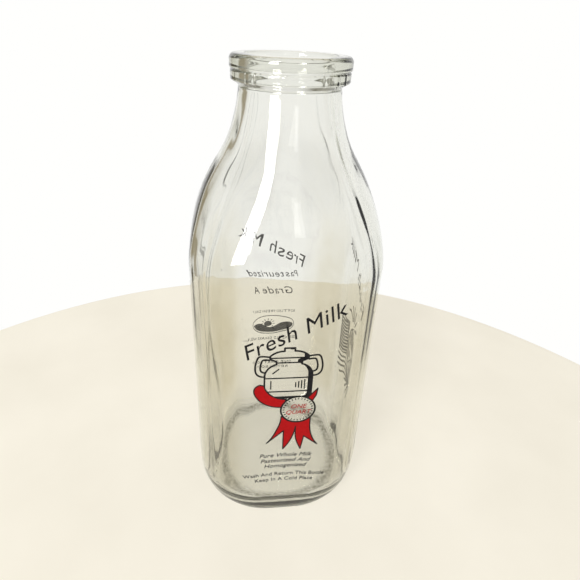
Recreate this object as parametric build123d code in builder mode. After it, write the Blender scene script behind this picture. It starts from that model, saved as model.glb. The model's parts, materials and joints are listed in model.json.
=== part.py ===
from build123d import *
import os
from math import atan, atan2, cos, degrees, radians, sin, sqrt

# Square one-quart glass milk bottle with fired enamel prints.
# Origin at the centre of the standing face, +Z up, the front panel faces -Y. Millimetres.

# Driving dimensions of the glass
height = 220.0
half_width = 42.8  # square body, axis to flat side
corner_radius = 28.0  # rounded vertical corners of the body
side_bow = 500.0  # radius of the slight outward bow of each side
heel_height = 26.0  # the sides tuck in below this
base_half_width = 38.5  # standing face, axis to its straightest side
base_corner_radius = 35.5  # the standing face is nearly round
shoulder_start = 136.5
shoulder_radius = 79.0  # convex arc of the shoulder's profile
round_from = 190.0  # above this height every section is a circle
neck_radius = 20.6
neck_top = 212.0  # inside the finish, where the neck's concave arc ends
nearly_round = 0.03  # how far a round section's arcs differ from one radius

# Finish: lip bead over a neck band, with a fine groove between them
bead_radius = 24.2
bead_bottom = 214.7
lip_rounding = 2.0
groove_depth = 0.5
groove_height = 0.5
band_radius = 23.8
band_bottom = 211.0
band_rounding = 0.8
finish_bottom = 208.9

# Hollow
bore_radius = 17.5
bore_bottom = 205.0
bore_lip_rounding = 1.4
wall = 3.4
floor_height = 5.5
floor_half_width = 35.0
floor_corner_radius = 31.0
inner_heel_height = 19.0
push_up_radius = 30.0  # dished middle of the underside
push_up_height = 2.5

# Prints
enamel = 0.15  # thickness of the fired enamel
line_width = 0.8  # drawn outlines
letter_pitch = 5.6  # letters are drawn on a grid 4 wide and 6 high, this far apart
letter_weight = 0.95  # stroke width on that grid
headline_height = 6.6
headline_tilt = 28.0
headline_up = 118.5
badge_centre = (4.6, 75.7)
badge_radius = 8.2

os.makedirs("parts", exist_ok=True)


def keep(piece, label):
    """Label a finished piece and write it to its own file."""
    piece.part.label = label
    export_step(piece.part, f"parts/{label}.step")


# ---------------------------------------------------------------- the glass


def section(z, half, bow, corner):
    """Four bowed sides and four corner arcs, all tangent, as a face at height z."""
    corner = min(corner, half * (1 - nearly_round))
    bow = max(bow, half * (1 + nearly_round))
    offset_in = bow - half
    reach = bow - corner
    corner_centre = (sqrt(2 * reach**2 - offset_in**2) - offset_in) / 2
    side_turn = degrees(atan2(corner_centre, corner_centre + offset_in))
    with BuildSketch(Plane.XY.offset(z)) as outline:
        with BuildLine():
            for quarter in range(4):
                turn = 90 * quarter
                side = Vector(-offset_in, 0).rotate(Axis.Z, turn)
                edge = Vector(corner_centre, corner_centre).rotate(Axis.Z, turn)
                CenterArc(side, bow, turn - side_turn, 2 * side_turn)
                CenterArc(edge, corner, turn + side_turn, 90 - 2 * side_turn)
        make_face()
    return outline.sketch.face()


def shoulder_half(z):
    """Half width of the shoulder: a convex arc, then a concave arc up to the neck."""
    drop = half_width - neck_radius
    rise = neck_top - shoulder_start
    turn = 2 * atan(drop / rise)
    concave_radius = rise / sin(turn) - shoulder_radius
    inflection = shoulder_start + shoulder_radius * sin(turn)
    if z < inflection:
        return half_width - shoulder_radius + sqrt(shoulder_radius**2 - (z - shoulder_start) ** 2)
    return neck_radius + concave_radius - sqrt(concave_radius**2 - (neck_top - z) ** 2)


def shoulder_section(z, inset=0.0):
    """The square body turning round as it rises to the neck."""
    half = shoulder_half(z)
    share = min(max((z - shoulder_start) / (round_from - shoulder_start), 0), 1)
    share = share**2 * (3 - 2 * share)
    corner = corner_radius + (half - corner_radius) * share
    bow = 1 / ((1 - share) / side_bow + share / half)
    return section(z, half - inset, bow - inset, corner - inset)


def heel_sections(bottom, top, low_half, low_corner, inset):
    """Sections of a quarter-ellipse tuck from a nearly round foot to the square body."""
    faces = []
    steps = 7
    for step in range(steps + 1):
        angle = 90 * step / steps
        share = sin(radians(angle))
        z = top - (top - bottom) * cos(radians(angle))
        half = low_half + (half_width - inset - low_half) * share
        corner = low_corner + (corner_radius - inset - low_corner) * share
        faces.append(section(z, half, side_bow - inset, corner))
    return faces


shoulder_steps = [0, 3, 8, 14, 21, 28, 35, 42, 49, 56, 63, 69, 72.5]
body_section = section(heel_height, half_width, side_bow, corner_radius)

with BuildPart() as blank:
    loft(heel_sections(0, heel_height, base_half_width, base_corner_radius, 0))
    extrude(body_section, amount=shoulder_start - heel_height)
    loft([shoulder_section(shoulder_start + step) for step in shoulder_steps])

with BuildPart() as finish:
    with BuildSketch(Plane.XZ):
        with BuildLine():
            outline_start = (0, finish_bottom)
            Line(outline_start, (neck_radius, finish_bottom))
            Line(
                (neck_radius, finish_bottom),
                (band_radius - band_rounding, band_bottom - band_rounding),
            )
            RadiusArc(
                (band_radius - band_rounding, band_bottom - band_rounding),
                (band_radius, band_bottom),
                -1.5 * band_rounding,
            )
            Polyline(
                (band_radius, band_bottom),
                (band_radius, bead_bottom - groove_height),
                (band_radius - groove_depth, bead_bottom - groove_height / 2),
                (bead_radius - groove_depth / 2, bead_bottom),
                (bead_radius, bead_bottom + groove_height),
                (bead_radius, height - lip_rounding),
            )
            RadiusArc(
                (bead_radius, height - lip_rounding),
                (bead_radius - lip_rounding, height),
                -lip_rounding,
            )
            Polyline((bead_radius - lip_rounding, height), (0, height), outline_start)
        make_face()
    revolve(axis=Axis.Z)

with BuildPart() as hollow:
    loft(heel_sections(floor_height, inner_heel_height, floor_half_width, floor_corner_radius, wall))
    extrude(
        section(inner_heel_height, half_width - wall, side_bow - wall, corner_radius - wall),
        amount=shoulder_start - inner_heel_height,
    )
    loft([shoulder_section(shoulder_start + step, wall) for step in shoulder_steps[:-1]])
    with BuildSketch(Plane.XZ):
        with BuildLine():
            Polyline(
                (0, bore_bottom),
                (bore_radius, bore_bottom),
                (bore_radius, height - bore_lip_rounding),
            )
            RadiusArc(
                (bore_radius, height - bore_lip_rounding),
                (bore_radius + bore_lip_rounding, height),
                bore_lip_rounding,
            )
            Polyline((bore_radius + bore_lip_rounding, height), (0, height), (0, bore_bottom))
        make_face()
    revolve(axis=Axis.Z)

dish_radius = (push_up_radius**2 + push_up_height**2) / (2 * push_up_height)
with BuildPart() as bottle:
    add(blank.part)
    add(finish.part)
    add(hollow.part, mode=Mode.SUBTRACT)
    with Locations((0, 0, push_up_height - dish_radius)):
        Sphere(dish_radius, mode=Mode.SUBTRACT)

keep(bottle, "bottle")
litre = 1e6
print("brimful capacity, litres:", round(hollow.part.volume / litre, 3))
print("glass, grams:", round(bottle.part.volume * 2.5e-3))
print("solids:", len(bottle.part.solids()), "valid:", bottle.part.is_valid)


# ---------------------------------------------------------------- the prints
# Each drawing is flat, seen from outside the panel: across to the right, up from the standing face.

with BuildPart() as skin:
    extrude(
        section(heel_height, half_width + enamel, side_bow + enamel, corner_radius + enamel),
        amount=shoulder_start - heel_height,
    )
    extrude(body_section, amount=shoulder_start - heel_height, mode=Mode.SUBTRACT)

panels = {
    "front": Plane(origin=(0, -half_width, 0), x_dir=(1, 0, 0), z_dir=(0, -1, 0)),
    "right": Plane(origin=(half_width, 0, 0), x_dir=(0, 1, 0), z_dir=(1, 0, 0)),
    "back": Plane(origin=(0, half_width, 0), x_dir=(-1, 0, 0), z_dir=(0, 1, 0)),
}


def fire(side, name, drawing):
    """Fire a flat drawing onto a panel as a skin of even thickness that follows the glass."""
    reach = 5
    with BuildPart() as layer:
        with BuildSketch(panels[side]):
            add(drawing)
        extrude(amount=reach, both=True)
        add(skin.part, mode=Mode.INTERSECT)
    keep(layer, f"{side}_{name}")


def stack(*lines):
    """Several lines of lettering as one drawing."""
    with BuildSketch() as drawing:
        for line in lines:
            add(line)
    return drawing.sketch


def stroke(*curves, width=line_width):
    """Drawn lines of even width with round ends and joints."""
    with BuildSketch() as drawn:
        for curve in curves:
            for edge in curve.edges():
                trace(edge, line_width=width)
                with Locations(edge @ 0, edge @ 1):
                    Circle(width / 2)
    return drawn.sketch


def outlined(area, width=line_width):
    """The drawn outline of a flat shape, centred on its edge."""
    return stroke(area, width=width)


def filled(area, width=line_width):
    """What is left of a flat shape inside its drawn outline."""
    with BuildSketch() as middle:
        add(area)
        add(outlined(area, width), mode=Mode.SUBTRACT)
    return middle.sketch


# Plain capitals, as the strokes of each letter on the 4 by 6 grid.
capitals = {
    "A": [[(0, 0), (2, 6), (4, 0)], [(0.8, 2.2), (3.2, 2.2)]],
    "B": [[(0, 0), (0, 6), (3, 6), (3.6, 5), (3, 3.2), (4, 1.6), (3.2, 0), (0, 0)], [(0, 3.2), (3, 3.2)]],
    "C": [[(4, 5), (3, 6), (1, 6), (0, 5), (0, 1), (1, 0), (3, 0), (4, 1)]],
    "D": [[(0, 0), (0, 6), (2.6, 6), (4, 4.6), (4, 1.4), (2.6, 0), (0, 0)]],
    "E": [[(4, 6), (0, 6), (0, 0), (4, 0)], [(0, 3.1), (3, 3.1)]],
    "F": [[(4, 6), (0, 6), (0, 0)], [(0, 3.1), (3, 3.1)]],
    "G": [[(4, 5), (3, 6), (1, 6), (0, 5), (0, 1), (1, 0), (4, 0), (4, 2.8), (2.4, 2.8)]],
    "H": [[(0, 0), (0, 6)], [(4, 0), (4, 6)], [(0, 3.1), (4, 3.1)]],
    "I": [[(2, 0), (2, 6)]],
    "K": [[(0, 0), (0, 6)], [(4, 6), (0.2, 2.8)], [(1.4, 3.8), (4, 0)]],
    "L": [[(0, 6), (0, 0), (4, 0)]],
    "M": [[(0, 0), (0, 6), (2, 2.6), (4, 6), (4, 0)]],
    "N": [[(0, 0), (0, 6), (4, 0), (4, 6)]],
    "O": [[(1, 0), (3, 0), (4, 1), (4, 5), (3, 6), (1, 6), (0, 5), (0, 1), (1, 0)]],
    "P": [[(0, 0), (0, 6), (3, 6), (4, 5), (4, 3.9), (3, 2.9), (0, 2.9)]],
    "Q": [
        [(1, 0), (3, 0), (4, 1), (4, 5), (3, 6), (1, 6), (0, 5), (0, 1), (1, 0)],
        [(2.6, 1.6), (4.2, -0.2)],
    ],
    "R": [[(0, 0), (0, 6), (3, 6), (4, 5), (4, 3.9), (3, 2.9), (0, 2.9)], [(2, 2.9), (4, 0)]],
    "S": [[(4, 5), (3, 6), (1, 6), (0, 5), (0, 4), (4, 2), (4, 1), (3, 0), (1, 0), (0, 1)]],
    "T": [[(0, 6), (4, 6)], [(2, 6), (2, 0)]],
    "U": [[(0, 6), (0, 1), (1, 0), (3, 0), (4, 1), (4, 6)]],
    "W": [[(0, 6), (0.9, 0), (2, 3.8), (3.1, 0), (4, 6)]],
    "Y": [[(0, 6), (2, 3), (4, 6)], [(2, 3), (2, 0)]],
    "Z": [[(0, 6), (4, 6), (0, 0), (4, 0)]],
}
drawn_capitals = {
    letter: stroke(*[Polyline(*points) for points in strokes], width=letter_weight)
    for letter, strokes in capitals.items()
}


def words(text, size, up, across=0.0, tilt=0.0, arch=0.0):
    """A line of capitals of that height about its centre, level, tilted or on an arch of that radius."""
    share = size / 6
    middle = (len(text) - 1) / 2
    with BuildSketch() as placed:
        for place, letter in enumerate(text):
            if letter == " ":
                continue
            along = (place - middle) * letter_pitch * share
            turn = -degrees(along / arch) if arch else 0.0
            sag = arch - arch * cos(along / arch) if arch else 0.0
            spot = Location((across, up), tilt) * Location((along, -sag), turn)
            with Locations(spot * Location((-2 * share, -size / 2))):
                add(drawn_capitals[letter].scale(share))
    return placed.sketch


def badge_disc():
    """The round rosette that hangs in front of the ribbon."""
    with BuildSketch() as disc:
        with Locations(badge_centre):
            Circle(badge_radius)
    return disc.sketch


def badge_ring():
    """The rosette's rim, with a ring of short dashes just inside it."""
    dashes = 28
    dash_radius = 0.8 * badge_radius
    with BuildSketch() as ring:
        with Locations(badge_centre):
            Circle(badge_radius)
            Circle(badge_radius - line_width, mode=Mode.SUBTRACT)
            with PolarLocations(dash_radius, dashes):
                Rectangle(0.9, 0.4)
    return ring.sketch


def ribbon():
    """A ribbon loop to the left of the rosette, its end on the right, and two forked tails below."""
    with BuildSketch() as area:
        with BuildLine():
            Spline((-12.8, 91.0), (-15.3, 88.4), (-13.6, 82.6), (-9.4, 79.0), (-2.4, 77.6))
            Line((-2.4, 77.6), (-1.0, 82.2))
            Spline((-1.0, 82.2), (-5.4, 83.2), (-9.0, 86.0), (-11.0, 90.4))
            Line((-11.0, 90.4), (-12.8, 91.0))
        make_face()
        with BuildLine():
            Polyline((9.0, 83.0), (12.9, 87.8), (12.4, 83.8), (10.4, 79.6), (8.0, 80.0), (9.0, 83.0))
        make_face()
        with BuildLine():
            Spline((-2.9, 71.6), (-5.0, 62.5), (-9.2, 54.6), tangents=((0, -1), (-0.7, -0.8)))
            Line((-9.2, 54.6), (-1.5, 62.6))
            Line((-1.5, 62.6), (-1.4, 50.4))
            Spline((-1.4, 50.4), (2.2, 57.0), (4.0, 65.0), tangents=((0.6, 0.8), (0.1, 1)))
            Spline((4.0, 65.0), (4.6, 56.5), (7.0, 49.8), tangents=((0, -1), (0.4, -1)))
            Line((7.0, 49.8), (8.2, 58.4))
            Line((8.2, 58.4), (15.0, 52.2))
            Spline((15.0, 52.2), (11.2, 61.0), (10.6, 71.6), tangents=((-0.6, 0.8), (0, 1)))
            Line((10.6, 71.6), (-2.9, 71.6))
        make_face()
    return area.sketch


def clear_of_disc(drawing):
    """A drawing with the rosette's round area left free."""
    with BuildSketch() as rest:
        add(drawing)
        add(badge_disc(), mode=Mode.SUBTRACT)
    return rest.sketch


def milk_churn():
    """A farm milk churn with two loop handles, bands and shading, drawn in line."""
    churn_centre = (-0.5, -1.3)
    with BuildSketch() as can:
        with BuildLine():
            foot = Polyline((0, 84.4), (9.4, 84.4), (10.4, 86.0), (10.4, 97.0))
            rise = TangentArc(foot @ 1, (5.4, 103.6), tangent=(0, 1))
            Polyline(rise @ 1, (5.6, 105.2), (8.2, 106.4), (8.2, 108.0))
            ThreePointArc((8.2, 108.0), (5.6, 109.9), (2.2, 110.6))
            Polyline((2.2, 110.6), (2.2, 112.2), (0, 112.2))
            mirror(about=Plane.YZ)
        make_face()
    handle = [
        Spline((10.3, 96.8), (14.4, 100.2), (13.6, 106.6), (8.3, 107.6), tangents=((1, 0), (-1, -0.2))),
        Spline((10.2, 99.2), (12.3, 101.2), (11.8, 105.0), (8.4, 106.0), tangents=((1, 0), (-1, -0.2))),
    ]
    hoops = [Line((-10.2, up), (10.2, up)) for up in (88.2, 95.9)]
    collar = [Line((-5.3, 104.4), (5.3, 104.4)), Line((-8.0, 107.0), (8.0, 107.0))]
    shading = [Line((7.2 - 1.3 * n, 89.5 + 0.4 * n), (7.2 - 1.3 * n, 94.6 - 0.5 * n)) for n in range(4)]
    gleam = [Line((-7.6, 89.9), (-7.6, 94.2)), Line((-4.4, 100.9), (-6.9, 98.6))]
    shadow_shift = Location((-1.9, 0.9))
    with BuildSketch() as shadow:
        add(can.sketch)
        add(shadow_shift * can.sketch, mode=Mode.SUBTRACT)
    with BuildSketch() as drawing:
        with Locations(churn_centre):
            add(outlined(can.sketch))
            add(shadow.sketch)
            add(stroke(*handle))
            add(stroke(*handle).mirror(Plane.YZ))
            add(stroke(*hoops, *collar, width=0.6))
            add(stroke(*shading, *gleam, width=0.55))
        add(badge_disc(), mode=Mode.SUBTRACT)
        add(ribbon_area, mode=Mode.SUBTRACT)
        add(ribbon_lines, mode=Mode.SUBTRACT)
    return drawing.sketch


def farm_scene():
    """A barn and silo under a rayed sky, standing over a field whose furrows fan out."""
    across = 2.5  # the drawing sits a little towards the back of its panel
    ground = 62
    eaves = 75
    ridge = (-3.5, 88)
    silo_middle = 11.8
    silo_half = 3.2
    silo_eaves = 82
    hatch_pitch = 2.2
    hatch_width = 1.4
    ink = 0.9
    with BuildSketch() as barn:
        with BuildLine():
            Polyline((-14, ground), (-14, eaves), (-11.2, 82.5), ridge, (4.2, 82.5))
            Polyline((4.2, 82.5), (7, eaves), (7, ground), (-14, ground))
        make_face()
    with BuildSketch() as silo:
        left = silo_middle - silo_half
        right = silo_middle + silo_half
        with BuildLine():
            Polyline((left, ground), (left, silo_eaves))
            ThreePointArc((left, silo_eaves), (silo_middle, 86.4), (right, silo_eaves))
            Polyline((right, silo_eaves), (right, ground), (left, ground))
        make_face()
    with BuildSketch() as roof_courses:
        with Locations(*[(ridge[0], 76.6 + hatch_pitch * n) for n in range(5)]):
            Rectangle(22, hatch_width)
        add(barn.sketch, mode=Mode.INTERSECT)
    with BuildSketch() as silo_hoops:
        with Locations(*[(silo_middle, 64 + hatch_pitch * n) for n in range(10)]):
            Rectangle(2 * silo_half, hatch_width)
        add(silo.sketch, mode=Mode.INTERSECT)
    door = [
        Polyline((-7.5, ground), (-7.5, 71), (0.5, 71), (0.5, ground)),
        Line((-7.5, 62.3), (0.5, 70.7)),
        Line((-7.5, 70.7), (0.5, 62.3)),
    ]
    boards = [Line((x, 62.2), (x, 74.6)) for x in (-12.4, -10.8, -9.2, 2.2, 3.8, 5.4)]
    rays = [
        PolarLine(start=Vector(ridge) + Vector(5, 0).rotate(Axis.Z, turn), length=7, angle=turn)
        for turn in range(25, 156, 26)
    ]
    horizon = (-14, 59.6)
    row_ends = [(15, 58.4), (15, 54.4), (15, 50.2), (11, 47.0)]
    row_ends += [(5, 46.6), (-1, 46.6), (-7, 46.8), (-12, 47.2)]
    furrows = [Line(horizon, row_end) for row_end in row_ends]
    with BuildSketch() as drawing:
        with Locations((across, 0)):
            add(outlined(barn.sketch, ink))
            add(outlined(silo.sketch, ink))
            add(roof_courses.sketch)
            add(silo_hoops.sketch)
            add(stroke(*door, *boards, width=ink))
            add(stroke(*rays, *furrows, width=hatch_width))
    return drawing.sketch


def oval_emblem():
    """An oval frame round a low sun behind two dark hills."""
    middle = 61.8
    with BuildSketch() as frame:
        with Locations((0, middle)):
            Ellipse(13.6, 6.6)
    with BuildSketch() as hills:
        with BuildLine():
            left = Spline((-14, 60.2), (-8, 63.2), (-3, 61.0), (2, 59.6))
            right = Spline(left @ 1, (7, 62.6), (14, 60.4))
            Polyline(right @ 1, (14, 54), (-14, 54), left @ 0)
        make_face()
        with Locations((0, middle)):
            Ellipse(12.6, 5.6, mode=Mode.INTERSECT)
    with BuildSketch() as drawing:
        add(outlined(frame.sketch, 0.45))
        with Locations((2.2, 62.4)):
            Circle(1.9)
            with PolarLocations(3.1, 7, start_angle=0, angular_range=180, endpoint=True):
                Rectangle(1.3, 0.35)
        add(hills.sketch)
    return drawing.sketch


headline = words("FRESH MILK", headline_height, headline_up, tilt=headline_tilt)
ribbon_edge = 0.6
ribbon_area = ribbon()
ribbon_lines = outlined(ribbon_area, ribbon_edge)

fire("front", "headline", headline)
fire("front", "churn", milk_churn())
fire("front", "ribbon_red", clear_of_disc(filled(ribbon_area, ribbon_edge)))
fire("front", "ribbon_outline", clear_of_disc(ribbon_lines))
fire("front", "badge_ring", badge_ring())
fire(
    "front",
    "badge_words",
    stack(words("ONE", 2.2, 77.5, badge_centre[0]), words("QUART", 2.2, 74.0, badge_centre[0])),
)
fire(
    "front",
    "motto",
    stack(
        words("PURE WHOLE MILK", 1.8, 46.4, arch=110),
        words("PASTEURIZED", 1.8, 42.7, arch=110),
        words("HOMOGENIZED", 1.8, 39.0, arch=110),
    ),
)
fire(
    "front",
    "notice",
    stack(
        words("WASH AND RETURN BOTTLE", 1.8, 33.3, arch=90),
        words("KEEP IN COLD PLACE", 1.8, 29.5, arch=90),
    ),
)
fire("back", "headline", words("FRESH MILK", headline_height, 115.4, tilt=headline_tilt))
fire("back", "subheading", words("PASTEURIZED", 3.6, 97.4))
fire("back", "grade", words("GRADE A", 3.6, 86.0))
fire("back", "small_line", words("BOTTLED FRESH DAILY", 1.6, 71.8))
fire("back", "oval_emblem", oval_emblem())
fire("back", "notice", words("KEEP COLD SHAKE WELL", 1.8, 51.8))
fire("back", "measure", stack(words("ONE QUART LIQUID", 1.7, 33.2), words("RETURN BOTTLE", 1.7, 29.4)))
fire("right", "headline", headline)
fire("right", "farm_scene", farm_scene())
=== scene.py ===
import json
import math
import random

import bmesh
import bpy
import numpy as np
from mathutils import Matrix, Vector, noise


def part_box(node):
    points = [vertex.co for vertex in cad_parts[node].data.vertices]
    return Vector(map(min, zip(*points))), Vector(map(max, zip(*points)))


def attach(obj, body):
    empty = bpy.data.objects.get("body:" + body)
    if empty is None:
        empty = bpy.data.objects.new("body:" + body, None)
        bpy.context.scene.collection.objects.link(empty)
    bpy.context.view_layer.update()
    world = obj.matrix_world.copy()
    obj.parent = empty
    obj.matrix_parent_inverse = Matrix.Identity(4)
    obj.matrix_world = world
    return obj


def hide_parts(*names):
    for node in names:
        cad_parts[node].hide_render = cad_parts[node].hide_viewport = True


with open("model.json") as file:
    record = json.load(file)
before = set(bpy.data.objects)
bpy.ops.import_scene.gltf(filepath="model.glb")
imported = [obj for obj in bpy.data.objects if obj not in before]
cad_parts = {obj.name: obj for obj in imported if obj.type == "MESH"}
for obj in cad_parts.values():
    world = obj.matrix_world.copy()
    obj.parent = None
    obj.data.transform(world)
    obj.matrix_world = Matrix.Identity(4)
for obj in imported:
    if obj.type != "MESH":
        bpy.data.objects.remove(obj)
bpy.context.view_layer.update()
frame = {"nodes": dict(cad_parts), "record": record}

# Square one-quart glass milk bottle. Metres, +Z up, the front panel faces -Y.

scene = bpy.context.scene
_, glass_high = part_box("bottle")
MM = 0.001

# ------------------------------------------------------------ dimensions of the glass
# They repeat the driving dimensions of the CAD glass.

HEIGHT = glass_high.z
HALF_WIDTH = 42.8 * MM
CORNER_RADIUS = 28 * MM
SIDE_BOW = 500 * MM
HEEL_HEIGHT = 26 * MM
BASE_HALF_WIDTH = 38.5 * MM
BASE_CORNER_RADIUS = 35.5 * MM
SHOULDER_START = 136.5 * MM
SHOULDER_RADIUS = 79 * MM
ROUND_FROM = 190 * MM
NECK_RADIUS = 20.6 * MM
NECK_TOP = 212 * MM
NEARLY_ROUND = 0.03
BEAD_RADIUS = 24.2 * MM
BEAD_BOTTOM = 214.7 * MM
LIP_ROUNDING = 2 * MM
GROOVE_DEPTH = 0.5 * MM
BAND_RADIUS = 23.8 * MM
BAND_BOTTOM = 211 * MM
BAND_ROUNDING = 0.8 * MM
FINISH_BOTTOM = 208.9 * MM
BORE_RADIUS = 17.5 * MM
BORE_BOTTOM = 205 * MM
BORE_LIP_ROUNDING = 1.4 * MM
WALL = 3.4 * MM
FLOOR_HEIGHT = 5.5 * MM
FLOOR_HALF_WIDTH = 35.0 * MM
FLOOR_CORNER_RADIUS = 31.0 * MM
INNER_HEEL_HEIGHT = 19 * MM
PUSH_UP_RADIUS = 30 * MM
PUSH_UP_HEIGHT = 2.5 * MM

TABLE_GLOW = 2.5  # a light table, so the foot of the glass is lit from below

# Spacing of the glass mesh
COLUMNS = 384
RING_SPACING = 1.5 * MM
FINISH_SPACING = 0.6 * MM

# Detail of moulded glass
ENAMEL_BITE = 0.04 * MM  # the glass closes round the foot of each print
INNER_WAVE = 0.7 * MM  # uneven wall left by blowing
STREAK_ACROSS, STREAK_UP = 6 * MM, 110 * MM  # size of its upright streaks
STREAK_SHARE, STREAK_NEAR_CORNER = 0.15, 0.35  # how deep they are everywhere, and added at a corner
CORNER_REACH = 13 * MM
SWELL_ACROSS, SWELL_UP = 26 * MM, 60 * MM  # size of its broad swells
SWELL_SHARE = 0.8
OUTER_WAVE = 0.03 * MM
OUTER_ACROSS, OUTER_UP = 14 * MM, 30 * MM
BODY_RIDGE = 0.10 * MM
SHOULDER_RIDGE = 0.45 * MM
RIDGE_WIDTH = 1.3 * MM
BAND_MARKS = (-139, -130, -101, -66, -49, -37, 22, 71, 118, 164)  # degrees round the neck band
MARK_HEIGHT = 0.3 * MM
MARK_TURN = 1.2
STIPPLE_DEPTH = 0.5 * MM  # grains of the rough standing ring
STIPPLE_TOP = 4.5 * MM
RING_FADE_FROM, RING_FADE_TO = 28.5 * MM, 33.5 * MM  # radius over which the scuffed, frosted ring and its painted shade set in
RING_OUTER_FROM, RING_OUTER_TO = 35.5 * MM, 38.0 * MM  # and over which the ring's painted shade ends
# Painted shade: a dark tint on the standing ring, as if it sat in shadow on the table
RING_SHADE_TINT = (0.08, 0.07, 0.03, 1)
# Deeper glass colour and painted shade, laid on the four corners of the body
CORNER_TINT_AND_SHADE = (0.86, 0.83, 0.74, 1)
CORNER_FROM, CORNER_TO = 0.12, 0.245  # share over which a corner's tint and painted shade set in, a quarter at its middle
CORNER_TOP_FROM = SHOULDER_START + 15 * MM
CORNER_TOP_TO = SHOULDER_START - 25 * MM
SEED_BUBBLES = 26
BUBBLE_LOW, BUBBLE_HIGH = 30 * MM, 195 * MM
BUBBLE_AROUND, BUBBLE_UP = 16, 9  # faces round a bubble and from its bottom to its top
INNER_DOME = 1.6 * MM  # the inner floor rises over the push-up


# ------------------------------------------------------------ sections of the glass

turns = np.arange(COLUMNS) * (2 * math.pi / COLUMNS)
columns_cos, columns_sin = np.cos(turns), np.sin(turns)


def section(half, bow, corner):
    """Distance from the axis to four bowed sides and four tangent corner arcs, per column."""
    corner = min(corner, half * (1 - NEARLY_ROUND))
    bow = max(bow, half * (1 + NEARLY_ROUND))
    offset_in = bow - half
    reach = bow - corner
    corner_centre = (math.sqrt(2 * reach**2 - offset_in**2) - offset_in) / 2
    side_turn = math.atan2(corner_centre, corner_centre + offset_in)
    meet = math.atan2(bow * math.sin(side_turn), bow * math.cos(side_turn) - offset_in)
    away = np.abs((turns + math.pi / 4) % (math.pi / 2) - math.pi / 4)
    along_side = -offset_in * np.cos(away)
    side = along_side + np.sqrt(bow**2 - offset_in**2 + along_side**2)
    along_edge = corner_centre * (np.cos(away) + np.sin(away))
    edge = along_edge + np.sqrt(np.maximum(corner**2 - 2 * corner_centre**2 + along_edge**2, 0))
    return np.where(away < meet, side, edge)


def shoulder_half(z):
    """Half width of the shoulder: a convex arc, then a concave arc up to the neck."""
    drop = HALF_WIDTH - NECK_RADIUS
    rise = NECK_TOP - SHOULDER_START
    turn = 2 * math.atan(drop / rise)
    concave_radius = rise / math.sin(turn) - SHOULDER_RADIUS
    inflection = SHOULDER_START + SHOULDER_RADIUS * math.sin(turn)
    if z < inflection:
        return HALF_WIDTH - SHOULDER_RADIUS + math.sqrt(SHOULDER_RADIUS**2 - (z - SHOULDER_START) ** 2)
    return NECK_RADIUS + concave_radius - math.sqrt(concave_radius**2 - (NECK_TOP - z) ** 2)


def body_section(z, inset):
    """The square body below the shoulder, and the shoulder turning round above it."""
    if z <= SHOULDER_START:
        return section(HALF_WIDTH - inset, SIDE_BOW - inset, CORNER_RADIUS - inset)
    half = shoulder_half(z)
    share = min((z - SHOULDER_START) / (ROUND_FROM - SHOULDER_START), 1)
    share = share**2 * (3 - 2 * share)
    corner = CORNER_RADIUS + (half - CORNER_RADIUS) * share
    bow = 1 / ((1 - share) / SIDE_BOW + share / half)
    return section(half - inset, bow - inset, corner - inset)


def heel_rings(bottom, top, low_half, low_corner, inset, steps):
    """Rings of a quarter-ellipse tuck from a nearly round foot up to the square body."""
    rings = []
    for step in range(steps):
        angle = math.pi / 2 * step / steps
        share = math.sin(angle)
        half = low_half + (HALF_WIDTH - inset - low_half) * share
        corner = low_corner + (CORNER_RADIUS - inset - low_corner) * share
        z = top - (top - bottom) * math.cos(angle)
        rings.append((section(half, SIDE_BOW - inset, corner), np.full(COLUMNS, z)))
    return rings


def round_ring(radius, z):
    return np.full(COLUMNS, radius), np.full(COLUMNS, z)


def arc(centre, radius, start, end, steps):
    """Points of a profile arc, angles in degrees from straight outwards to straight up."""
    angles = [math.radians(start + (end - start) * n / steps) for n in range(steps + 1)]
    return [(centre[0] + radius * math.cos(a), centre[1] + radius * math.sin(a)) for a in angles]


def levels(low, high, spacing):
    count = max(round((high - low) / spacing), 1)
    return [low + (high - low) * n / count for n in range(count)]


# ------------------------------------------------------------ outer skin, from the dish up


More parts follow.
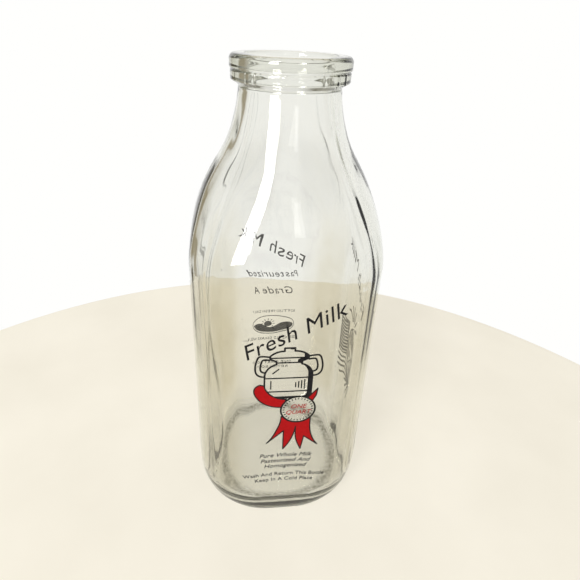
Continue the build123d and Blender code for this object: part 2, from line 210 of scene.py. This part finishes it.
def outer_rings():
    rings = []
    dish = (PUSH_UP_RADIUS**2 + PUSH_UP_HEIGHT**2) / (2 * PUSH_UP_HEIGHT)
    for radius in np.linspace(1.5 * MM, PUSH_UP_RADIUS, 18):
        rings.append(round_ring(radius, PUSH_UP_HEIGHT - dish + math.sqrt(dish**2 - radius**2)))
    foot = section(BASE_HALF_WIDTH, SIDE_BOW, BASE_CORNER_RADIUS)
    ring_steps = 20
    draw = np.random.default_rng(5)
    for step in range(1, ring_steps):
        share = step / ring_steps
        rise = STIPPLE_DEPTH * draw.random(COLUMNS) * math.sin(math.pi * share) ** 0.5
        rings.append((PUSH_UP_RADIUS + (foot - PUSH_UP_RADIUS) * share, rise))
    for radii, heights in heel_rings(0, HEEL_HEIGHT, BASE_HALF_WIDTH, BASE_CORNER_RADIUS, 0, 44):
        grain = 0.5 * STIPPLE_DEPTH * smooth_step(STIPPLE_TOP, 0.5 * STIPPLE_TOP, heights[0])
        rings.append((radii - grain * draw.random(COLUMNS), heights))
    for z in levels(HEEL_HEIGHT, NECK_TOP - 3.4 * MM, RING_SPACING):
        rings.append((body_section(z, 0), np.full(COLUMNS, z)))
    band_inner = BAND_RADIUS - BAND_ROUNDING
    profile = [
        (NECK_RADIUS + 0.1 * MM, FINISH_BOTTOM),
        (NECK_RADIUS + 0.5 * MM, FINISH_BOTTOM + 0.12 * MM),
        (NECK_RADIUS + 1.2 * MM, FINISH_BOTTOM + 0.5 * MM),
        (band_inner, BAND_BOTTOM - BAND_ROUNDING),
    ]
    profile += arc((band_inner, BAND_BOTTOM), BAND_ROUNDING, -60, 0, 5)
    band_top = BEAD_BOTTOM - 0.5 * MM
    profile += [(BAND_RADIUS, z) for z in levels(BAND_BOTTOM + 0.6 * MM, band_top, FINISH_SPACING)]
    profile += [
        (BAND_RADIUS - 0.08 * MM, band_top),
        (BAND_RADIUS - GROOVE_DEPTH, BEAD_BOTTOM - 0.25 * MM),
        (BAND_RADIUS - GROOVE_DEPTH, BEAD_BOTTOM - 0.1 * MM),
        (BEAD_RADIUS - 0.15 * MM, BEAD_BOTTOM + 0.2 * MM),
        (BEAD_RADIUS, BEAD_BOTTOM + 0.55 * MM),
    ]
    bead_top = HEIGHT - LIP_ROUNDING
    profile += [(BEAD_RADIUS, z) for z in levels(BEAD_BOTTOM + MM, bead_top, FINISH_SPACING)]
    profile += arc((BEAD_RADIUS - LIP_ROUNDING, bead_top), LIP_ROUNDING, 0, 90, 10)
    inner_edge = BORE_RADIUS + BORE_LIP_ROUNDING
    profile += [(BEAD_RADIUS - LIP_ROUNDING - MM, HEIGHT), (inner_edge + 0.6 * MM, HEIGHT)]
    flare_centre = (inner_edge, HEIGHT - BORE_LIP_ROUNDING)
    profile += arc(flare_centre, BORE_LIP_ROUNDING, 90, 180, 8)
    rings += [round_ring(radius, z) for radius, z in profile]
    return rings


def inner_rings():
    """From the bore down to the floor."""
    bore_levels = levels(BORE_BOTTOM, HEIGHT - 2.4 * MM, RING_SPACING)
    rings = [round_ring(BORE_RADIUS, z) for z in bore_levels[::-1]]
    for z in levels(INNER_HEEL_HEIGHT, BORE_BOTTOM - MM, RING_SPACING)[::-1]:
        rings.append((body_section(z, WALL), np.full(COLUMNS, z)))
    rings += heel_rings(
        FLOOR_HEIGHT, INNER_HEEL_HEIGHT, FLOOR_HALF_WIDTH, FLOOR_CORNER_RADIUS, WALL, 30
    )[::-1]
    floor = rings[-1][0]
    for share in np.linspace(1, 0, 22)[1:-1]:
        dome = INNER_DOME * (1 - share**2)
        rings.append((floor * share, np.full(COLUMNS, FLOOR_HEIGHT + dome)))
    return rings


def smooth_step(low, high, value):
    share = min(max((value - low) / (high - low), 0), 1)
    return share * share * (3 - 2 * share)


def from_corner(x, y):
    """Distance round the glass from the nearest of its four corners."""
    turn = (math.atan2(y, x) - math.pi / 4) % (math.pi / 2)
    return min(turn, math.pi / 2 - turn) * math.hypot(x, y)


def inner_wave(x, y, z):
    """Uneven wall: upright streaks near the corners and broader swells, gone in the pressed bore."""
    fade = smooth_step(NECK_TOP, NECK_TOP - 25 * MM, z)
    near_corner = math.exp(-((from_corner(x, y) / CORNER_REACH) ** 2))
    streak = noise.noise(Vector((x / STREAK_ACROSS, y / STREAK_ACROSS, z / STREAK_UP)))
    swell = noise.noise(Vector((x / SWELL_ACROSS + 7, y / SWELL_ACROSS, z / SWELL_UP)))
    streak_share = STREAK_SHARE + STREAK_NEAR_CORNER * near_corner
    return INNER_WAVE * fade * (streak_share * streak + SWELL_SHARE * swell)


def outer_wave(x, y, z):
    """Faint swells, a soft ridge up each corner, and the finish's mould marks."""
    swell = noise.noise(Vector((x / OUTER_ACROSS, y / OUTER_ACROSS + 3, z / OUTER_UP)))
    wave = OUTER_WAVE * swell
    below_finish = smooth_step(NECK_TOP - 2 * MM, NECK_TOP - 12 * MM, z)
    up_shoulder = smooth_step(SHOULDER_START - 20 * MM, SHOULDER_START + 25 * MM, z)
    above_heel = smooth_step(0.4 * HEEL_HEIGHT, HEEL_HEIGHT, z)
    ridge = BODY_RIDGE * above_heel + (SHOULDER_RIDGE - BODY_RIDGE) * up_shoulder
    ridge *= below_finish
    if ridge > 0:
        wave += ridge * math.exp(-((from_corner(x, y) / RIDGE_WIDTH) ** 2))
    if BAND_BOTTOM - 1.5 * MM < z < BEAD_BOTTOM - 0.4 * MM:
        turn = math.degrees(math.atan2(y, x))
        for mark in BAND_MARKS:
            off = abs((turn - mark + 180) % 360 - 180)
            wave += MARK_HEIGHT * math.exp(-((off / MARK_TURN) ** 2))
    return wave


def place_rings(rings, wave, lift):
    """The points of each ring, pushed out from the axis by the wave and the lift."""
    points = []
    for radii, heights in rings:
        for radius, x, y, z in zip(radii, radii * columns_cos, radii * columns_sin, heights):
            out = 1 + (wave(x, y, z) + lift) / radius
            points.append((x * out, y * out, z))
    return points


def ring_faces(count):
    """Quads between rings, and a fan at each end to a centre point that follows them."""
    faces = []
    first, last = count * COLUMNS, count * COLUMNS + 1
    for n in range(COLUMNS):
        m = (n + 1) % COLUMNS
        faces.append((first, m, n))
        for row in range(0, (count - 1) * COLUMNS, COLUMNS):
            faces.append((row + n, row + m, row + COLUMNS + m, row + COLUMNS + n))
        top = (count - 1) * COLUMNS
        faces.append((last, top + n, top + m))
    return faces


def add_bubbles(points, faces):
    """Small seed bubbles inside the wall, stretched a little upwards, facing inwards as hollows."""
    draw = random.Random(11)
    around, up = BUBBLE_AROUND, BUBBLE_UP
    for _ in range(SEED_BUBBLES):
        turn = draw.uniform(0, 2 * math.pi)
        z = draw.uniform(BUBBLE_LOW, BUBBLE_HIGH)
        radius = draw.uniform(0.14, 0.42) * MM
        stretch = radius * draw.uniform(1.1, 1.9)
        column = round(turn / (2 * math.pi) * COLUMNS) % COLUMNS
        out = body_section(z, 0)[column] - WALL * draw.uniform(0.35, 0.6)
        x, y = out * columns_cos[column], out * columns_sin[column]
        first = len(points)
        for row in range(1, up):
            lean = math.pi * row / up
            flat = radius * math.sin(lean)
            level = z - stretch * math.cos(lean)
            for n in range(around):
                spin = 2 * math.pi * n / around
                points.append((x + flat * math.cos(spin), y + flat * math.sin(spin), level))
        points += [(x, y, z - stretch), (x, y, z + stretch)]
        bottom, top = len(points) - 2, len(points) - 1
        last_row = first + (up - 2) * around
        for n in range(around):
            m = (n + 1) % around
            faces.append((bottom, first + n, first + m))
            for row in range(first, last_row, around):
                faces.append((row + m, row + n, row + around + n, row + around + m))
            faces.append((top, last_row + m, last_row + n))


def new_piece(name, mesh):
    piece = bpy.data.objects.new(name, mesh)
    scene.collection.objects.link(piece)
    return piece


def make_glass():
    outer, inner = outer_rings(), inner_rings()
    points = place_rings(outer, outer_wave, ENAMEL_BITE) + place_rings(inner, inner_wave, 0)
    points += [(0, 0, PUSH_UP_HEIGHT), (0, 0, FLOOR_HEIGHT + INNER_DOME)]
    faces = ring_faces(len(outer) + len(inner))
    add_bubbles(points, faces)
    mesh = bpy.data.meshes.new("glass_bottle")
    mesh.from_pydata(points, [], faces)
    mesh.shade_smooth()
    return new_piece("glass_bottle", mesh)


# ------------------------------------------------------------ materials


def new_material(name):
    material = bpy.data.materials.new(name)
    material.use_nodes = True
    nodes = material.node_tree.nodes
    return material, nodes, material.node_tree.links, nodes["Principled BSDF"]


def noise_ramp(nodes, links, scale, detail, low, high):
    """Object-space noise mapped to a range, as an output socket."""
    place = nodes.new("ShaderNodeTexCoord")
    pattern = nodes.new("ShaderNodeTexNoise")
    pattern.inputs["Scale"].default_value = scale
    pattern.inputs["Detail"].default_value = detail
    links.new(place.outputs["Object"], pattern.inputs["Vector"])
    spread = nodes.new("ShaderNodeMapRange")
    spread.inputs["From Min"].default_value = 0.3
    spread.inputs["From Max"].default_value = 0.7
    spread.inputs["To Min"].default_value = low
    spread.inputs["To Max"].default_value = high
    links.new(pattern.outputs["Fac"], spread.inputs["Value"])
    return spread.outputs["Result"]


def mottled(nodes, links, low, high, scale):
    """A colour that wanders between two, as an output socket."""
    blend = nodes.new("ShaderNodeMix")
    blend.data_type = "RGBA"
    blend.inputs["A"].default_value = (*low, 1)
    blend.inputs["B"].default_value = (*high, 1)
    links.new(noise_ramp(nodes, links, scale, 3, 0, 1), blend.inputs["Factor"])
    return blend.outputs["Result"]


def add_bump(nodes, links, shader, height, distance):
    bump = nodes.new("ShaderNodeBump")
    bump.inputs["Distance"].default_value = distance
    bump.inputs["Strength"].default_value = 1
    links.new(height, bump.inputs["Height"])
    links.new(bump.outputs["Normal"], shader.inputs["Normal"])


def mapped(nodes, links, value, low, high, to_low=0, to_high=1):
    """A value smoothly stepped from one range to another, as an output socket."""
    step = nodes.new("ShaderNodeMapRange")
    step.interpolation_type = "SMOOTHSTEP"
    step.inputs["From Min"].default_value = low
    step.inputs["From Max"].default_value = high
    step.inputs["To Min"].default_value = to_low
    step.inputs["To Max"].default_value = to_high
    links.new(value, step.inputs["Value"])
    return step.outputs["Result"]


def calculate(nodes, links, operation, first, second):
    """A math node on two sockets, as an output socket."""
    result = nodes.new("ShaderNodeMath")
    result.operation = operation
    links.new(first, result.inputs[0])
    links.new(second, result.inputs[1])
    return result.outputs[0]


def foot_mask(nodes, links, parts, radius):
    """One on the stippled foot, fading to nothing on the dish and up the heel."""
    inner_edge = mapped(nodes, links, radius, RING_FADE_FROM, RING_FADE_TO)
    below = mapped(nodes, links, parts.outputs["Z"], STIPPLE_TOP, 0.4 * STIPPLE_TOP)
    return calculate(nodes, links, "MULTIPLY", inner_edge, below)


def corner_tint_and_shade_mask(nodes, links, parts, radius):
    """One at the four corners of the body, where the glass is tinted deeper and painted shade darkens
    it.
    """
    product = calculate(nodes, links, "MULTIPLY", parts.outputs["X"], parts.outputs["Y"])
    square = calculate(nodes, links, "MULTIPLY", radius, radius)
    share = calculate(nodes, links, "DIVIDE", product, square)
    share = calculate(nodes, links, "MULTIPLY", share, share)
    corner = mapped(nodes, links, share, CORNER_FROM, CORNER_TO)
    below = mapped(nodes, links, parts.outputs["Z"], CORNER_TOP_FROM, CORNER_TOP_TO)
    above = mapped(nodes, links, parts.outputs["Z"], FLOOR_HEIGHT, HEEL_HEIGHT)
    upright = calculate(nodes, links, "MULTIPLY", below, above)
    return calculate(nodes, links, "MULTIPLY", upright, corner)


def tinted(nodes, links, colour, tint, share):
    """A colour multiplied by a tint where the share is one, as an output socket."""
    blend = nodes.new("ShaderNodeMix")
    blend.data_type = "RGBA"
    blend.blend_type = "MULTIPLY"
    if colour:
        links.new(colour, blend.inputs["A"])
    else:
        blend.inputs["A"].default_value = (1, 1, 1, 1)
    blend.inputs["B"].default_value = tint
    links.new(share, blend.inputs["Factor"])
    return blend.outputs["Result"]


def glass_material():
    """Clear bottle glass, deeper in colour and darkened by painted shade at the corners, scuffed and
    frosted on the standing ring, where painted shade darkens it too.
    """
    material, nodes, links, shader = new_material("clear_glass")
    shader.inputs["Transmission Weight"].default_value = 1
    shader.inputs["IOR"].default_value = 1.52
    place = nodes.new("ShaderNodeTexCoord")
    parts = nodes.new("ShaderNodeSeparateXYZ")
    links.new(place.outputs["Object"], parts.inputs["Vector"])
    flat = nodes.new("ShaderNodeCombineXYZ")
    links.new(parts.outputs["X"], flat.inputs["X"])
    links.new(parts.outputs["Y"], flat.inputs["Y"])
    length = nodes.new("ShaderNodeVectorMath")
    length.operation = "LENGTH"
    links.new(flat.outputs[0], length.inputs[0])
    radius = length.outputs["Value"]
    foot = foot_mask(nodes, links, parts, radius)
    outer_edge = mapped(nodes, links, radius, RING_OUTER_TO, RING_OUTER_FROM)
    # Where painted shade darkens the standing ring, speckled by noise
    ring = calculate(nodes, links, "MULTIPLY", foot, outer_edge)
    ring_shade_speckle = calculate(nodes, links, "MULTIPLY", ring, noise_ramp(nodes, links, 450, 2, 0.25, 1))
    streaks = noise_ramp(nodes, links, 90, 2, 0.6, 1)
    # The corners' deeper colour and painted shade, in streaks
    corners = calculate(nodes, links, "MULTIPLY", corner_tint_and_shade_mask(nodes, links, parts, radius), streaks)
    colour = tinted(nodes, links, None, CORNER_TINT_AND_SHADE, corners)
    links.new(tinted(nodes, links, colour, RING_SHADE_TINT, ring_shade_speckle), shader.inputs["Base Color"])
    frost = calculate(nodes, links, "MULTIPLY", foot, noise_ramp(nodes, links, 700, 2, 0.45, 0.85))
    smear = noise_ramp(nodes, links, 35, 2, 0.0, 0.02)
    links.new(calculate(nodes, links, "MAXIMUM", frost, smear), shader.inputs["Roughness"])
    add_bump(nodes, links, shader, noise_ramp(nodes, links, 55, 1, 0, 1), 0.03 * MM)
    tint = nodes.new("ShaderNodeVolumeAbsorption")
    tint.inputs["Color"].default_value = (0.56, 0.57, 0.42, 1)
    tint.inputs["Density"].default_value = 50
    links.new(tint.outputs["Volume"], nodes["Material Output"].inputs["Volume"])
    return material


def enamel_material(name, low, high):
    material, nodes, links, shader = new_material(name)
    links.new(mottled(nodes, links, low, high, 900), shader.inputs["Base Color"])
    links.new(noise_ramp(nodes, links, 400, 2, 0.38, 0.55), shader.inputs["Roughness"])
    shader.inputs["Specular IOR Level"].default_value = 0.05
    add_bump(nodes, links, shader, noise_ramp(nodes, links, 2500, 3, 0, 1), 0.02 * MM)
    shader.inputs["Coat Weight"].default_value = 0.01
    shader.inputs["Coat Roughness"].default_value = 0.2
    return material


def floor_material():
    material, nodes, links, shader = new_material("pale_table")
    pale = mottled(nodes, links, (0.265, 0.250, 0.215), (0.280, 0.265, 0.230), 14)
    links.new(pale, shader.inputs["Base Color"])
    shader.inputs["Roughness"].default_value = 0.7
    shader.inputs["Specular IOR Level"].default_value = 0.2
    links.new(pale, shader.inputs["Emission Color"])
    shader.inputs["Emission Strength"].default_value = TABLE_GLOW
    return material


# ------------------------------------------------------------ pieces

glass = make_glass()
glass.data.materials.append(glass_material())
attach(glass, "root")
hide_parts("bottle")

black = enamel_material("black_enamel", (0.006, 0.006, 0.007), (0.018, 0.017, 0.017))
red = enamel_material("red_enamel", (0.28, 0.003, 0.004), (0.34, 0.004, 0.006))
slots = {part["node"]: part["material_slot"] for part in frame["record"]["subparts"]}
for name, node in frame["nodes"].items():
    if name == "bottle":
        continue
    node.data.materials.clear()
    node.data.materials.append(red if slots[name] == "red_enamel" else black)

# ------------------------------------------------------------ lettering
# The same generic words as the CAD prints, in a rounder type, wrapped onto the same glass.

PRINT_LOW, PRINT_HIGH = -0.02 * MM, 0.13 * MM  # the enamel's two faces, from the glass outwards
CUT_SPACING = 1 * MM
panel_turns = {"front": 0, "right": 90, "back": 180}


def type_mesh(text, slant, spacing):
    """A line of type lying flat, one unit high."""
    curve = bpy.data.curves.new("type", "FONT")
    curve.body = text
    curve.align_x = "CENTER"
    curve.shear = slant
    curve.space_character = spacing
    curve.resolution_u = 4
    line = bpy.data.objects.new("type", curve)
    scene.collection.objects.link(line)
    state = bpy.context.evaluated_depsgraph_get()
    mesh = bpy.data.meshes.new_from_object(line.evaluated_get(state))
    bpy.data.objects.remove(line)
    return mesh


def type_bounds(mesh):
    places = np.array([vert.co for vert in mesh.vertices])
    return places.min(0), places.max(0)


low, high = type_bounds(type_mesh("H", 0, 1))
CAPITAL = high[1] - low[1]
CAPITAL_LOW = low[1]


def panel_out(along):
    """Distance of a flat side from the axis, and its outward slope, at a distance along it."""
    offset_in = SIDE_BOW - HALF_WIDTH
    reach = SIDE_BOW - CORNER_RADIUS
    corner_centre = (math.sqrt(2 * reach**2 - offset_in**2) - offset_in) / 2
    side_turn = math.atan2(corner_centre, corner_centre + offset_in)
    away = abs(along)
    if away < SIDE_BOW * math.sin(side_turn):
        turn = math.asin(away / SIDE_BOW)
        out = SIDE_BOW * math.cos(turn) - offset_in
    else:
        turn = math.asin(min((away - corner_centre) / CORNER_RADIUS, 1))
        out = corner_centre + CORNER_RADIUS * math.cos(turn)
    return out, math.copysign(turn, along)


def place_line(mesh, size, up, across, tilt, arch):
    """Scale a flat line to its capital height, bend it onto its arch, turn it and place it."""
    share = size / CAPITAL
    lean = math.radians(tilt)
    for vert in mesh.vertices:
        along, rise = vert.co.x * share, (vert.co.y - CAPITAL_LOW) * share - size / 2
        if arch:
            turn = along / arch
            along, rise = (arch + rise) * math.sin(turn), (arch + rise) * math.cos(turn) - arch
        vert.co = (
            across + along * math.cos(lean) - rise * math.sin(lean),
            up + along * math.sin(lean) + rise * math.cos(lean),
            0,
        )


def wrap(shape, side):
    """Bend flat lettering round the panel: x along it, y up it, z the enamel's inner or outer face."""
    turn = Matrix.Rotation(math.radians(panel_turns[side]), 3, "Z")
    for vert in shape.verts:
        out, slope = panel_out(vert.co.x)
        proud = PRINT_LOW + (PRINT_HIGH - PRINT_LOW) * vert.co.z
        along = vert.co.x + proud * math.sin(slope)
        vert.co = turn @ Vector((along, -(out + proud * math.cos(slope)), vert.co.y))


def letter(node, lines, slant=0.0, spacing=1.0):
    """Lettering that stands for a CAD print. Each line: text, capital height, up, across, tilt, arch."""
    side = node.split("_")[0]
    shape = bmesh.new()
    for text, size, up, across, tilt, arch in lines:
        mesh = type_mesh(text, slant, spacing)
        place_line(mesh, size, up, across, tilt, arch)
        shape.from_mesh(mesh)
    bmesh.ops.remove_doubles(shape, verts=shape.verts, dist=1e-6)
    edge = min(vert.co.x for vert in shape.verts)
    last = max(vert.co.x for vert in shape.verts)
    while edge < last:
        edge += CUT_SPACING
        parts = shape.verts[:] + shape.edges[:] + shape.faces[:]
        bmesh.ops.bisect_plane(shape, geom=parts, plane_co=(edge, 0, 0), plane_no=(1, 0, 0))
    raised = bmesh.ops.extrude_face_region(shape, geom=shape.faces[:])["geom"]
    for part in raised:
        if isinstance(part, bmesh.types.BMVert):
            part.co.z = 1
    wrap(shape, side)
    bmesh.ops.recalc_face_normals(shape, faces=shape.faces)
    mesh = bpy.data.meshes.new(node + "_type")
    shape.to_mesh(mesh)
    shape.free()
    slot = slots[node]
    mesh.materials.append(red if slot == "red_enamel" else black)
    piece = new_piece(node + "_type", mesh)
    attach(piece, "root")
    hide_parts(node)


def print_middle(node):
    """Height and place across of the middle of a CAD print, seen from outside its panel."""
    low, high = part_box(node)
    middle = (low + high) / 2
    side = node.split("_")[0]
    across = {"front": middle.x, "right": middle.y, "back": -middle.x}[side]
    return middle.z, across


HEADLINE_TILT = 28
HEADLINE_SIZE = 7.3 * MM
SCRIPT_SLANT = 0.35
for side in ("front", "back", "right"):
    node = side + "_headline"
    up, across = print_middle(node)
    line = ("Fresh Milk", HEADLINE_SIZE, up, across, HEADLINE_TILT, 0)
    letter(node, [line], slant=SCRIPT_SLANT, spacing=1.04)
badge_up, badge_across = print_middle("front_badge_words")
BADGE_SIZE = 2.3 * MM
letter(
    "front_badge_words",
    [
        ("ONE", BADGE_SIZE, badge_up + 1.9 * MM, badge_across, 0, 0),
        ("QUART", BADGE_SIZE, badge_up - 1.6 * MM, badge_across, 0, 0),
    ],
    slant=0.25,
)
motto_up, motto_across = print_middle("front_motto")
MOTTO_SIZE = 2.5 * MM
MOTTO_ARCH = 110 * MM
LINE_DROP = 3.75 * MM
letter(
    "front_motto",
    [
        ("Pure Whole Milk", MOTTO_SIZE, motto_up + LINE_DROP, motto_across, 0, MOTTO_ARCH),
        ("Pasteurized And", MOTTO_SIZE, motto_up, motto_across, 0, MOTTO_ARCH),
        ("Homogenized", MOTTO_SIZE, motto_up - LINE_DROP, motto_across, 0, MOTTO_ARCH),
    ],
    slant=0.3,
)
notice_up, notice_across = print_middle("front_notice")
NOTICE_SIZE = 2.3 * MM
NOTICE_ARCH = 90 * MM
upper_notice, lower_notice = notice_up + 2.1 * MM, notice_up - 1.9 * MM
letter(
    "front_notice",
    [
        ("Wash And Return This Bottle", NOTICE_SIZE, upper_notice, notice_across, 0, NOTICE_ARCH),
        ("Keep In A Cold Place", NOTICE_SIZE, lower_notice, notice_across, 0, NOTICE_ARCH),
    ],
)
for node, text, size, slant in (
    ("back_subheading", "Pasteurized", 4.2 * MM, SCRIPT_SLANT),
    ("back_grade", "Grade A", 4.4 * MM, SCRIPT_SLANT),
    ("back_small_line", "BOTTLED FRESH DAILY", 1.7 * MM, 0),
    ("back_notice", "KEEP COLD SHAKE WELL", 1.9 * MM, 0),
):
    up, across = print_middle(node)
    letter(node, [(text, size, up, across, 0, 0)], slant=slant, spacing=1.1)
measure_up, measure_across = print_middle("back_measure")
MEASURE_SIZE = 1.8 * MM
letter(
    "back_measure",
    [
        ("ONE QUART LIQUID", MEASURE_SIZE, measure_up + 1.9 * MM, measure_across, 0, 0),
        ("RETURN BOTTLE", MEASURE_SIZE, measure_up - 1.9 * MM, measure_across, 0, 0),
    ],
    spacing=1.1,
)

# ------------------------------------------------------------ table, light and camera

TABLE_RADIUS = 0.32
TABLE_MIDDLE = Vector((-0.015, -0.12, 0))
table = bmesh.new()
TABLE_CLEARANCE = 0.05 * MM  # the top stays just clear of the standing ring
rim = [
    (TABLE_RADIUS, -0.02),
    (TABLE_RADIUS, -0.004),
    (TABLE_RADIUS - 0.003, -0.0002),
    (TABLE_RADIUS - 0.006, 0),
    (0, 0),
]
profile = [table.verts.new((out, 0, up - TABLE_CLEARANCE)) for out, up in rim]
edges = [table.edges.new(pair) for pair in zip(profile, profile[1:])]
bmesh.ops.spin(
    table,
    geom=profile + edges,
    axis=(0, 0, 1),
    cent=(0, 0, 0),
    angle=2 * math.pi,
    steps=128,
    use_merge=True,
)
bmesh.ops.remove_doubles(table, verts=table.verts, dist=1e-6)
bmesh.ops.recalc_face_normals(table, faces=table.faces)
bmesh.ops.translate(table, verts=table.verts, vec=TABLE_MIDDLE)
table_mesh = bpy.data.meshes.new("table")
table.to_mesh(table_mesh)
table.free()
table_mesh.shade_smooth()
floor = new_piece("table", table_mesh)
floor.data.materials.append(floor_material())


# Parts of the world, as shares of a direction of length one
PALE_SIDE = (1.0, 1.0, 0.985, 1)
DIM_CARD = (0.36, 0.31, 0.21, 1)
CARD_NEAR_EDGE = (-0.43, -0.58)
CARD_FAR_EDGE = (0.25, 0.65)
CARD_TOP = (0.60, 0.05)
CEILING = (0.13, 0.12, 0.07, 1)
CEILING_FROM = 0.25
CEILING_TO = 0.55
CEILING_MIDDLE = 0.2  # share of the darkness straight in front and behind
CEILING_ASIDE_FROM = 0.01
CEILING_ASIDE_TO = 0.12


def studio_world():
    """Pale all round, with a dim card behind to the left and dim sides overhead."""
    world = bpy.data.worlds.new("studio")
    world.use_nodes = True
    nodes, links = world.node_tree.nodes, world.node_tree.links
    way = nodes.new("ShaderNodeTexCoord")
    parts = nodes.new("ShaderNodeSeparateXYZ")
    links.new(way.outputs["Generated"], parts.inputs["Vector"])
    sides = nodes.new("ShaderNodeMix")
    sides.data_type = "RGBA"
    sides.inputs["A"].default_value = PALE_SIDE
    sides.inputs["B"].default_value = DIM_CARD
    near_edge = mapped(nodes, links, parts.outputs["X"], *CARD_NEAR_EDGE)
    far_edge = mapped(nodes, links, parts.outputs["Y"], *CARD_FAR_EDGE)
    top = mapped(nodes, links, parts.outputs["Z"], *CARD_TOP)
    card = calculate(nodes, links, "MULTIPLY", near_edge, far_edge)
    card = calculate(nodes, links, "MULTIPLY", card, top)
    links.new(card, sides.inputs["Factor"])
    whole = nodes.new("ShaderNodeMix")
    whole.data_type = "RGBA"
    links.new(sides.outputs["Result"], whole.inputs["A"])
    whole.inputs["B"].default_value = CEILING
    above = mapped(nodes, links, parts.outputs["Z"], CEILING_FROM, CEILING_TO)
    square = calculate(nodes, links, "MULTIPLY", parts.outputs["X"], parts.outputs["X"])
    aside = mapped(nodes, links, square, CEILING_ASIDE_FROM, CEILING_ASIDE_TO, CEILING_MIDDLE, 1)
    ceiling = calculate(nodes, links, "MULTIPLY", above, aside)
    links.new(ceiling, whole.inputs["Factor"])
    links.new(whole.outputs["Result"], nodes["Background"].inputs["Color"])
    nodes["Background"].inputs["Strength"].default_value = 1
    return world


scene.world = studio_world()
scene.view_settings.view_transform = "Standard"


def soft_light(name, place, aim, width, height, power):
    """A rectangular area light at place that faces aim."""
    lamp = bpy.data.lights.new(name, "AREA")
    lamp.shape = "RECTANGLE"
    lamp.size, lamp.size_y = width, height
    lamp.energy = power
    light = bpy.data.objects.new(name, lamp)
    light.location = place
    light.rotation_mode = "QUATERNION"
    light.rotation_quaternion = (Vector(aim) - Vector(place)).to_track_quat("-Z", "Y")
    scene.collection.objects.link(light)


WINDOW_TURN = math.radians(-37.5)  # from straight in front towards the left
WINDOW_AWAY = 1.2
window_low, window_high = 0.18, 1.50
window_middle = (window_low + window_high) / 2
soft_light(
    "window",
    (WINDOW_AWAY * math.sin(WINDOW_TURN), -WINDOW_AWAY * math.cos(WINDOW_TURN), window_middle),
    (0, 0, window_middle),
    0.40,
    window_high - window_low,
    20,
)

# A second, faint window, far to the right in front
far_middle = 0.62
soft_light("far_window", (0.21, -1.18, far_middle), (0, 0, far_middle), 0.14, 0.55, 0.4)

CAMERA_PLACE = (-0.02336, -0.18919, 0.23103)
CAMERA_HEADING = -0.11768
CAMERA_PITCH = 0.47818
CAMERA_ROLL = 0.04068
lens = bpy.data.cameras.new("camera")
lens.lens = 27.94
lens.sensor_width = 36
lens.shift_x = 0.0159
lens.shift_y = -0.0610
lens.clip_start = 0.01
camera = bpy.data.objects.new("camera", lens)
camera.matrix_world = (
    Matrix.Translation(CAMERA_PLACE)
    @ Matrix.Rotation(CAMERA_HEADING, 4, "Z")
    @ Matrix.Rotation(math.pi / 2 - CAMERA_PITCH, 4, "X")
    @ Matrix.Rotation(CAMERA_ROLL, 4, "Z")
)
scene.collection.objects.link(camera)
scene.camera = camera
